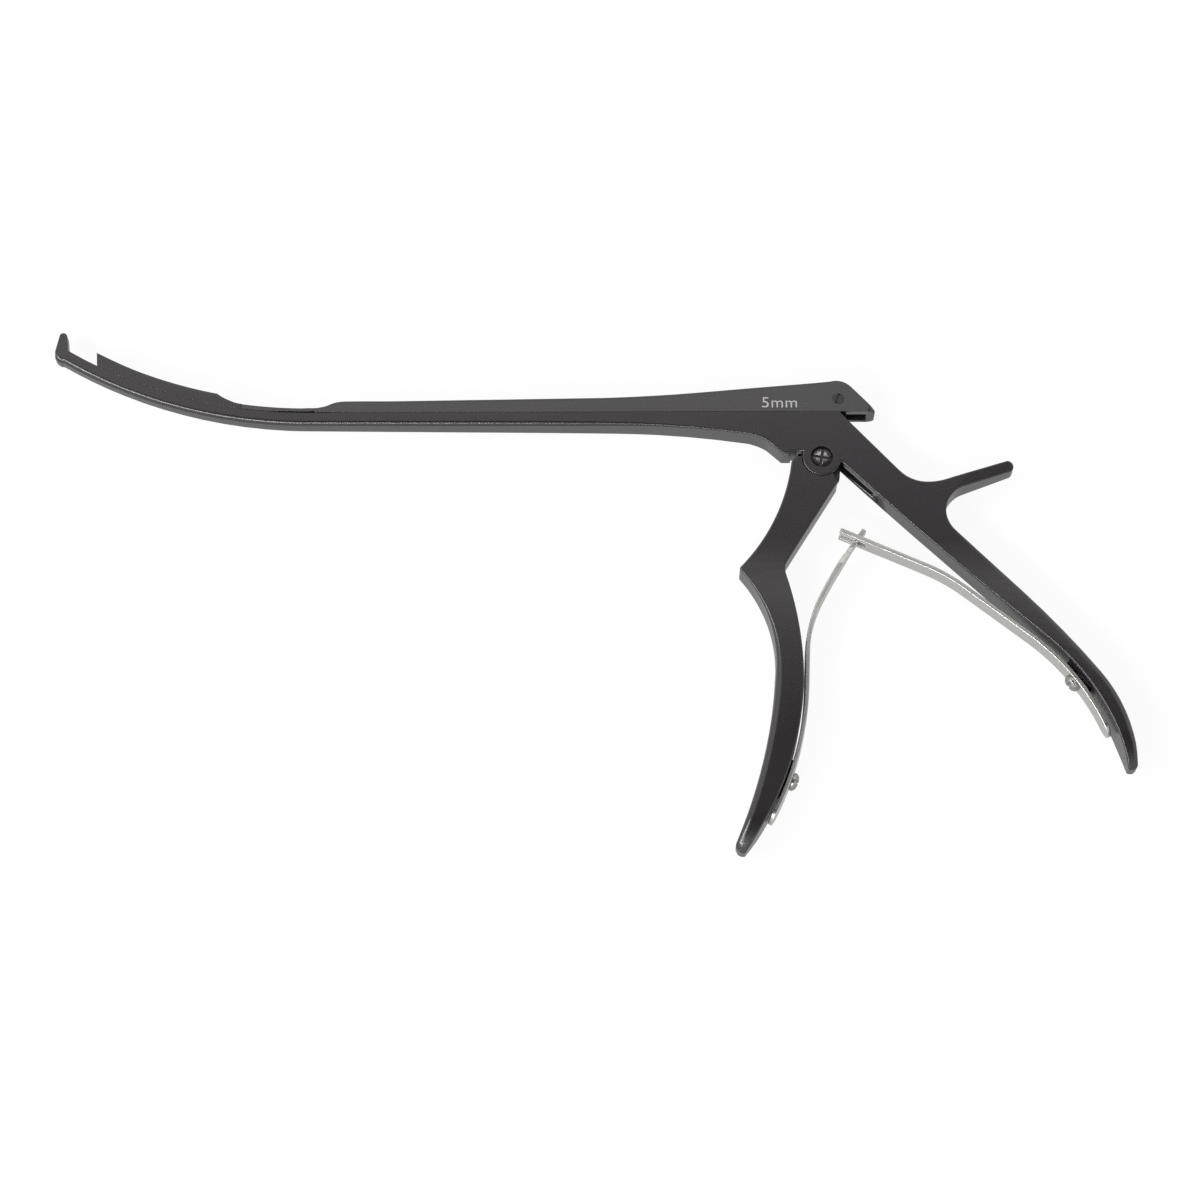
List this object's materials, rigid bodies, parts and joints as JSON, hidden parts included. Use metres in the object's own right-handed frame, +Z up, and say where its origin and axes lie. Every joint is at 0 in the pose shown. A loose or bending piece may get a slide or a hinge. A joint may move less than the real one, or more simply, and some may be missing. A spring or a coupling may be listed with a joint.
{
  "type": "bone rongeur",
  "caption": "Curved-shaft bone rongeur with a sliding cutting jaw, pistol-grip handles and crossed leaf springs, lying on its side.",
  "frame": {"origin": "middle of the overall box, on the plane that the grips rest on", "axes": "+X from the cutting tip towards the handles, along the straight shaft; +Y from the grips towards the top of the shaft; +Z up, square to the tool's flat sides"},
  "size_m": [0.2636, 0.132, 0.011],
  "materials": {
    "coated_steel": "black satin coating on steel",
    "spring_steel": "satin stainless steel"
  },
  "bodies": {
    "frame": {"body": "coated_steel", "pivot_screw": "spring_steel", "rear_leaf_screw": "spring_steel"},
    "upper_shaft": {"slide": "coated_steel", "coupling_screw": "coated_steel", "flex_band": "coated_steel"},
    "cutter": {"jaw": "coated_steel"},
    "trigger": {"front_handle": "coated_steel", "front_leaf_screw": "spring_steel"},
    "rear_leaf": {"rear_leaf_spring": "spring_steel"},
    "front_leaf": {"front_leaf_spring": "spring_steel"}
  },
  "joints": [
    {"name": "handle_hinge", "type": "hinge", "parent": "frame", "child": "trigger", "pos_m": [0.05715, 0.0331, 0.0055], "axis": [0, 0, 1], "range_deg": [0, 29.8], "stiffness_Nm_per_rad": 1, "springref_deg": -11.46},
    {"name": "shaft_slide", "type": "slide", "parent": "frame", "child": "upper_shaft", "axis": [-1, 0, 0], "range_m": [0, 0.0081]},
    {"name": "jaw_turn", "type": "hinge", "parent": "upper_shaft", "child": "cutter", "pos_m": [-0.06484, 0.04547, 0.0055], "axis": [0, 0, -1], "range_deg": [0, 4], "deforming": ["flex_band"]},
    {"name": "rear_leaf_bend", "type": "hinge", "parent": "frame", "child": "rear_leaf", "pos_m": [0.10215, -0.0069, 0.0055], "axis": [0, 0, -1], "range_deg": [0, 9.2], "deforming": ["rear_leaf_spring"]},
    {"name": "front_leaf_bend", "type": "hinge", "parent": "trigger", "child": "front_leaf", "pos_m": [0.05315, -0.0149, 0.0055], "axis": [0, 0, 1], "range_deg": [0, 9.6], "deforming": ["front_leaf_spring"]}
  ],
  "couplings": [
    {"joint": "shaft_slide", "follows": "handle_hinge", "m_per_rad": 0.01544},
    {"joint": "jaw_turn", "follows": "handle_hinge", "ratio": 0.13335},
    {"joint": "rear_leaf_bend", "follows": "handle_hinge", "ratio": 0.302},
    {"joint": "front_leaf_bend", "follows": "handle_hinge", "ratio": 0.315}
  ]
}
